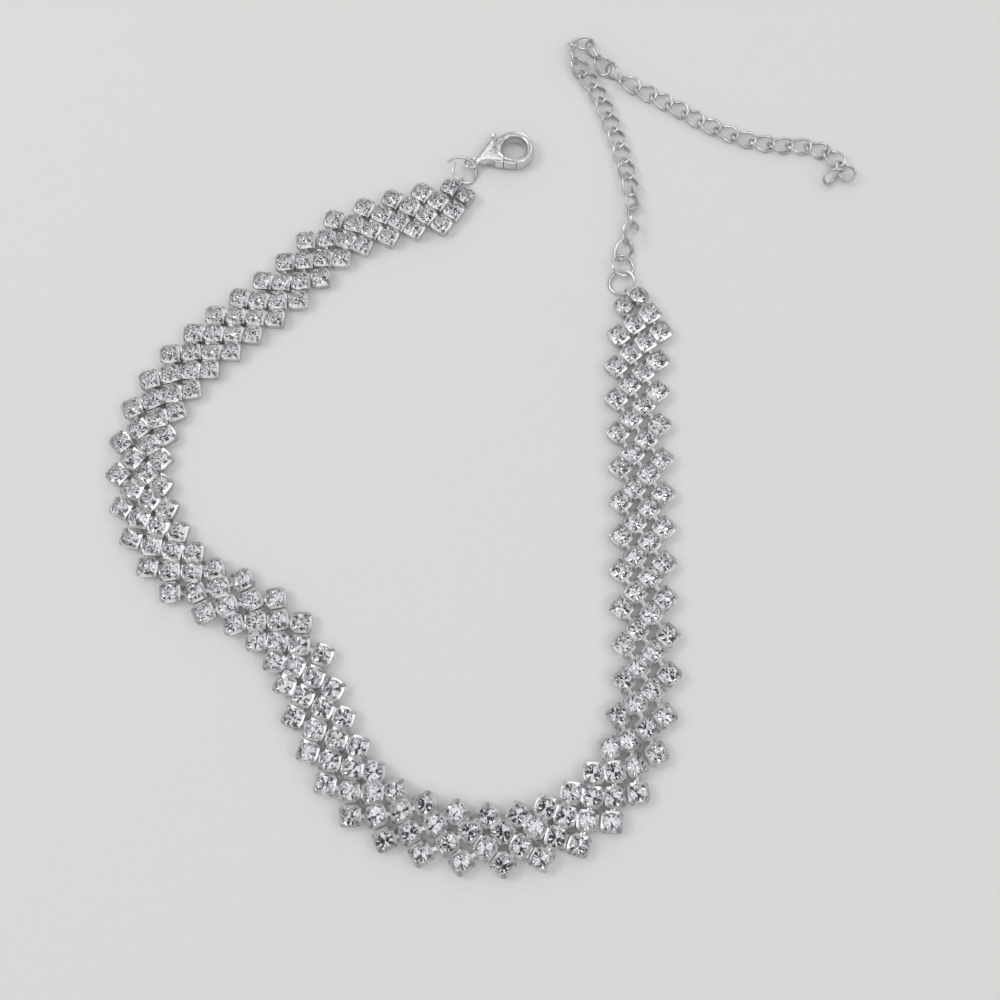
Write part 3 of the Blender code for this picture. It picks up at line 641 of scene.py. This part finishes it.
def claw_ring(thick_share, steps=144, sides=24):
    """The teardrop with its round hole: at each angle about the hole, a rounded oblong from the hole's edge to
    the outline. It thins towards the eye in proportion to the way from the claw to the neck."""
    degrees = np.linspace(-180, 180, steps, endpoint=False)
    outer = claw_outline(degrees)
    half = (outer - HOLE_RADIUS) / 2
    middle = (outer + HOLE_RADIUS) / 2
    way = np.radians(degrees)
    turn = np.linspace(0, math.tau, sides, endpoint=False)
    across = np.sign(np.cos(turn)) * np.abs(np.cos(turn)) ** SECTION_ROUNDNESS
    tall = np.sign(np.sin(turn)) * np.abs(np.sin(turn)) ** SECTION_ROUNDNESS
    reach = middle[:, None] + half[:, None] * across[None, :]
    x = CLAW_CENTRE[0] + reach * np.cos(way)[:, None]
    y = CLAW_CENTRE[1] + reach * np.sin(way)[:, None]
    taper = np.clip((CLASP_DISCS[1][0] - x) / (CLASP_DISCS[1][0] - CLASP_DISCS[0][0]), 0, 1)
    thick = (CLASP_THICK + (NECK_THICK - CLASP_THICK) * taper) * thick_share
    points = np.stack([x, y, thick / 2 * tall[None, :]], -1).reshape(-1, 3)
    return points, grid_faces(steps, sides, rows_close=True)


def prism(outline, low, high):
    """A flat outline made thick between two heights."""
    outline = np.asarray(outline, float)
    count = len(outline)
    points = np.concatenate([np.column_stack([outline, np.full(count, z)]) for z in (low, high)])
    return points, grid_faces(2, count) + [list(range(count))[::-1], list(range(count, 2 * count))]


def arc(radius, start, end, steps=16):
    """Points in plan at one radius about the origin, at even steps from one angle to the other."""
    return polar_points(radius, np.linspace(start, end, steps + 1), 0)[:, :2]


def circle(radius, steps=36):
    """A full turn of that arc, without its first point again."""
    return arc(radius, 0, 360 - 360 / steps, steps - 1)


def swept_bar(start, end, half_width, reach):
    """What a bar covers in turning about the rivet from one heading to another: an arc past both, as far as the
    bar's corners lean, closed by a corner at the rivet for each side."""
    lean = math.degrees(math.asin(half_width / reach))
    return np.concatenate([arc(half_width, start - 90, start - 90, 0), arc(reach, start - lean, end + lean),
                           arc(half_width, end + 90, end + 90, 0)])


def hollow_disc(inner, outer, half_thick, steps=48, sides=12):
    """A washer: a rounded oblong, the cosine and sine of its turn to the power HUB_ROUNDNESS, carried round a
    circle."""
    turn = np.linspace(0, math.tau, sides, endpoint=False)
    reach = (inner + outer) / 2 + (outer - inner) / 2 * np.sign(np.cos(turn)) * np.abs(np.cos(turn)) ** HUB_ROUNDNESS
    tall = half_thick * np.sign(np.sin(turn)) * np.abs(np.sin(turn)) ** HUB_ROUNDNESS
    way = np.linspace(0, math.tau, steps, endpoint=False)[:, None]
    points = np.stack([reach * np.cos(way), reach * np.sin(way), tall + 0 * way], -1).reshape(-1, 3)
    return points, grid_faces(steps, sides, rows_close=True)


def turned_shape(profile, steps=32):
    """A profile of radius and height, from pole to pole, turned about Z."""
    radius, height = np.array(profile, float).T
    way = np.linspace(0, math.tau, steps, endpoint=False)
    inner = slice(1, -1)
    ring = np.stack([radius[inner, None] * np.cos(way), radius[inner, None] * np.sin(way),
                     height[inner, None] + 0 * way], -1).reshape(-1, 3)
    count = len(ring)
    points = np.concatenate([ring, [[0, 0, height[0]], [0, 0, height[-1]]]])
    faces = grid_faces(len(radius) - 2, steps)
    faces += [[count, (n + 1) % steps, n] for n in range(steps)]
    last = count - steps
    faces += [[count + 1, last + n, last + (n + 1) % steps] for n in range(steps)]
    return points, faces


def joined_shapes(shapes):
    """Several closed shapes as one set of points and faces."""
    points, faces, before = [], [], 0
    for shape_points, shape_faces in shapes:
        points.append(shape_points)
        faces += [[n + before for n in face] for face in shape_faces]
        before += len(shape_points)
    return np.concatenate(points), faces


def outward(mesh_object):
    """Turns every face of a closed mesh outwards."""
    bm = bmesh.new()
    bm.from_mesh(mesh_object.data)
    bmesh.ops.recalc_face_normals(bm, faces=bm.faces)
    bm.to_mesh(mesh_object.data)
    bm.free()


def finished(mesh_object):
    """Replaces an object's mesh by what its modifiers make of it."""
    graph = bpy.context.evaluated_depsgraph_get()
    mesh = bpy.data.meshes.new_from_object(mesh_object.evaluated_get(graph))
    mesh_object.modifiers.clear()
    mesh_object.data = mesh
    return mesh_object


def combine(base, cutters, operation):
    """A Boolean of an object with some shapes, made final. The helpers are removed."""
    helpers = []
    for number, (points, faces) in enumerate(cutters):
        helper = add_mesh(f"helper_{number}", points, faces, [], smooth_below=0)
        outward(helper)
        helpers.append(helper)
        step = base.modifiers.new("cut", "BOOLEAN")
        step.operation = operation
        step.object = helper
    finished(base)
    for helper in helpers:
        bpy.data.objects.remove(helper)
    return base


def cast(name, base, extra, voxel):
    """Melts an object and some closed shapes into one skin with soft edges, and sets it in the clasp's place."""
    extra_points, extra_faces = joined_shapes(extra)
    base_points = np.empty(len(base.data.vertices) * 3)
    base.data.vertices.foreach_get("co", base_points)
    base_faces = [list(face.vertices) for face in base.data.polygons]
    bpy.data.objects.remove(base)
    points, faces = joined_shapes([(base_points.reshape(-1, 3) / MM, base_faces), (extra_points, extra_faces)])
    made = add_mesh(name, points @ CLASP_TURN.T + rivet, faces, [clasp_silver])
    outward(made)
    melt = made.modifiers.new("melt", "REMESH")
    melt.mode = "VOXEL"
    melt.voxel_size = voxel * MM
    soften = made.modifiers.new("soften", "SMOOTH")
    soften.factor = SOFTEN_FACTOR
    soften.iterations = SOFTEN_PASSES
    finished(made)
    made.data.shade_smooth()
    if not made.data.materials:
        made.data.materials.append(clasp_silver)
    return made


def lever_bar(angle, half_width, reach, foot):
    """A bar that points out from the rivet: its far end is an arc about the rivet, its foot a straight edge."""
    lean = math.degrees(math.asin(half_width / reach))
    foot_reach, spread = foot
    return np.concatenate([arc(reach, angle - lean, angle + lean), arc(foot_reach, angle + spread, angle - spread, 1)])


base = add_mesh("claw", *claw_ring(1.0), [clasp_silver])
outward(base)
slot_half = LEVER_THICK / 2 + SLACK
swing = LEVER_OPENS + SLOT_MARGIN
through = CLASP_THICK
start_reach, start_angle = GATE_START
root_reach, root_angle = GATE_ROOT
low_angle, high_angle = GATE_ANGLES
top_reach, top_angle = GATE_WAY_TOP
gate_way = np.concatenate([
    arc(GATE_REACH, GATE_WAY_LOW_ANGLE, GATE_WAY_LOW_ANGLE, 0),
    arc(GATE_REACH + SLACK, low_angle - GATE_WAY_MARGIN, high_angle + GATE_WAY_MARGIN),
    arc(top_reach, top_angle, top_angle, 0),
    arc(start_reach - SLACK, GATE_WAY_START_ANGLE, start_angle - GATE_WAY_START_MARGIN),
    arc(root_reach, root_angle - GATE_WAY_ROOT_MARGIN, root_angle - GATE_WAY_ROOT_MARGIN, 0),
])
notch_x, notch_y, notch_radius = NOTCH
combine(base, [
    prism(gate_way, -through, through),
    prism(circle(notch_radius) + (notch_x, notch_y), -through, through),
    prism(circle(HUB_RADIUS + SLACK), -slot_half, slot_half),
    prism(swept_bar(KNOB_ANGLE, KNOB_ANGLE + swing, ARM_HALF_WIDTH + SLACK, ARM_SLOT_REACH), -slot_half, slot_half),
    prism(swept_bar(ROOT_ANGLE - SLOT_MARGIN, ROOT_ANGLE + swing, ROOT_HALF_WIDTH + SLACK, ROOT_SLOT_REACH),
          -slot_half, slot_half),
], "DIFFERENCE")
eye_path = polar_points(EYE_RADIUS, np.linspace(0, 360, 48, endpoint=False), 0)
eye_roll = math.radians(EYE_ROLL)
eye_path = np.stack([eye_path[:, 0], eye_path[:, 1] * math.cos(eye_roll), eye_path[:, 1] * math.sin(eye_roll)], -1)
eye = wire(eye_path + (*EYE_CENTRE, 0), EYE_WIRE, (0, -math.sin(eye_roll), math.cos(eye_roll)))
rivet_half = RIVET_LENGTH / 2
bevel = RIVET_RADIUS / 3
rivet_profile = [
    (0, -rivet_half - RIVET_DOME), (RIVET_RADIUS - bevel, -rivet_half), (RIVET_RADIUS, -rivet_half + bevel),
    (RIVET_RADIUS, rivet_half - bevel), (RIVET_RADIUS - bevel, rivet_half), (0, rivet_half + RIVET_DOME),
]
body = cast("clasp_casting", base, [eye, turned_shape(rivet_profile)], CASTING_VOXEL)
settle(body, "necklace", ["clasp_body"])

gate = add_mesh("gate", *claw_ring(GATE_THICK / CLASP_THICK), [clasp_silver])
outward(gate)
gate_outline = np.concatenate([
    arc(root_reach, root_angle, root_angle, 0), arc(GATE_REACH, low_angle, high_angle),
    arc(start_reach, start_angle, start_angle, 0),
])
combine(gate, [prism(gate_outline, -through, through)], "INTERSECT")
knob_middle = polar_points(KNOB_REACH, [KNOB_ANGLE], 0)
rise = np.linspace(-90, 90, 15)
knob_points, knob_faces = turned_shape(polar_points(KNOB_RADIUS, rise, 0)[:, :2])
lever_half = LEVER_THICK / 2
lever = cast("clasp_lever_plate", gate, [
    hollow_disc(HUB_BORE_RADIUS, HUB_RADIUS, lever_half),
    prism(lever_bar(KNOB_ANGLE, ARM_HALF_WIDTH, KNOB_REACH, ARM_FOOT), -lever_half, lever_half),
    prism(lever_bar(ROOT_ANGLE, ROOT_HALF_WIDTH, ROOT_REACH, ROOT_FOOT), -lever_half, lever_half),
    (knob_points + knob_middle, knob_faces),
], LEVER_VOXEL)
settle(lever, "lever", ["clasp_lever"])


# Floor and lights.

floor = add_mesh("floor", [(-FLOOR, -FLOOR, 0), (FLOOR, -FLOOR, 0), (FLOOR, FLOOR, 0), (-FLOOR, FLOOR, 0)],
                 [(0, 1, 2, 3)], [pale_card()], smooth_below=0)


def softbox(name, place, size, watts):
    """A white square lamp turned to the origin: leaned by the angle of its place from straight up, and turned to
    the heading of that place."""
    lamp = bpy.data.lights.new(name, "AREA")
    lamp.shape = "SQUARE"
    lamp.size = size * MM
    lamp.energy = watts
    holder = bpy.data.objects.new(name, lamp)
    holder.location = np.array(place) * MM
    way = -np.array(place, float)
    holder.rotation_euler = (math.atan2(math.hypot(way[0], way[1]), -way[2]), 0, math.atan2(way[0], -way[1]) + math.pi)
    bpy.context.scene.collection.objects.link(holder)


for name, (place, size, watts) in LAMPS.items():
    softbox(name, place, size, watts)


def studio_surround():
    """A pale tent round the floor: plain and grey at the sides, with soft bright and dim patches overhead."""
    world = bpy.data.worlds.new("studio")
    bpy.context.scene.world = world
    world.use_nodes = True
    tree = world.node_tree
    way = node(tree, "TexCoord", {}, {}).outputs["Generated"]
    height = node(tree, "SeparateXYZ", {}, {0: way}).outputs["Z"]
    overhead = node(tree, "MapRange", {"interpolation_type": "SMOOTHSTEP"}, {
        "Value": height, "From Min": TENT_RISE[0], "From Max": TENT_RISE[1]}).outputs["Result"]
    patches = node(tree, "TexNoise", {}, {"Vector": way, "Scale": 5.0, "Detail": 0.0}).outputs["Fac"]
    uneven = node(tree, "MapRange", {}, {"Value": patches, "From Min": 0.42, "From Max": 0.52,
                                         "To Min": TENT_DIMMEST, "To Max": TENT_BRIGHTEST}).outputs["Result"]
    light = node(tree, "Mix", {"data_type": "FLOAT"}, {0: overhead, 2: TENT_LEVEL, 3: uneven}).outputs[0]
    background = tree.nodes["Background"]
    background.inputs["Color"].default_value = linear("#ffffff")
    tree.links.new(light, background.inputs["Strength"])


studio_surround()
bpy.context.scene.view_settings.view_transform = "Standard"
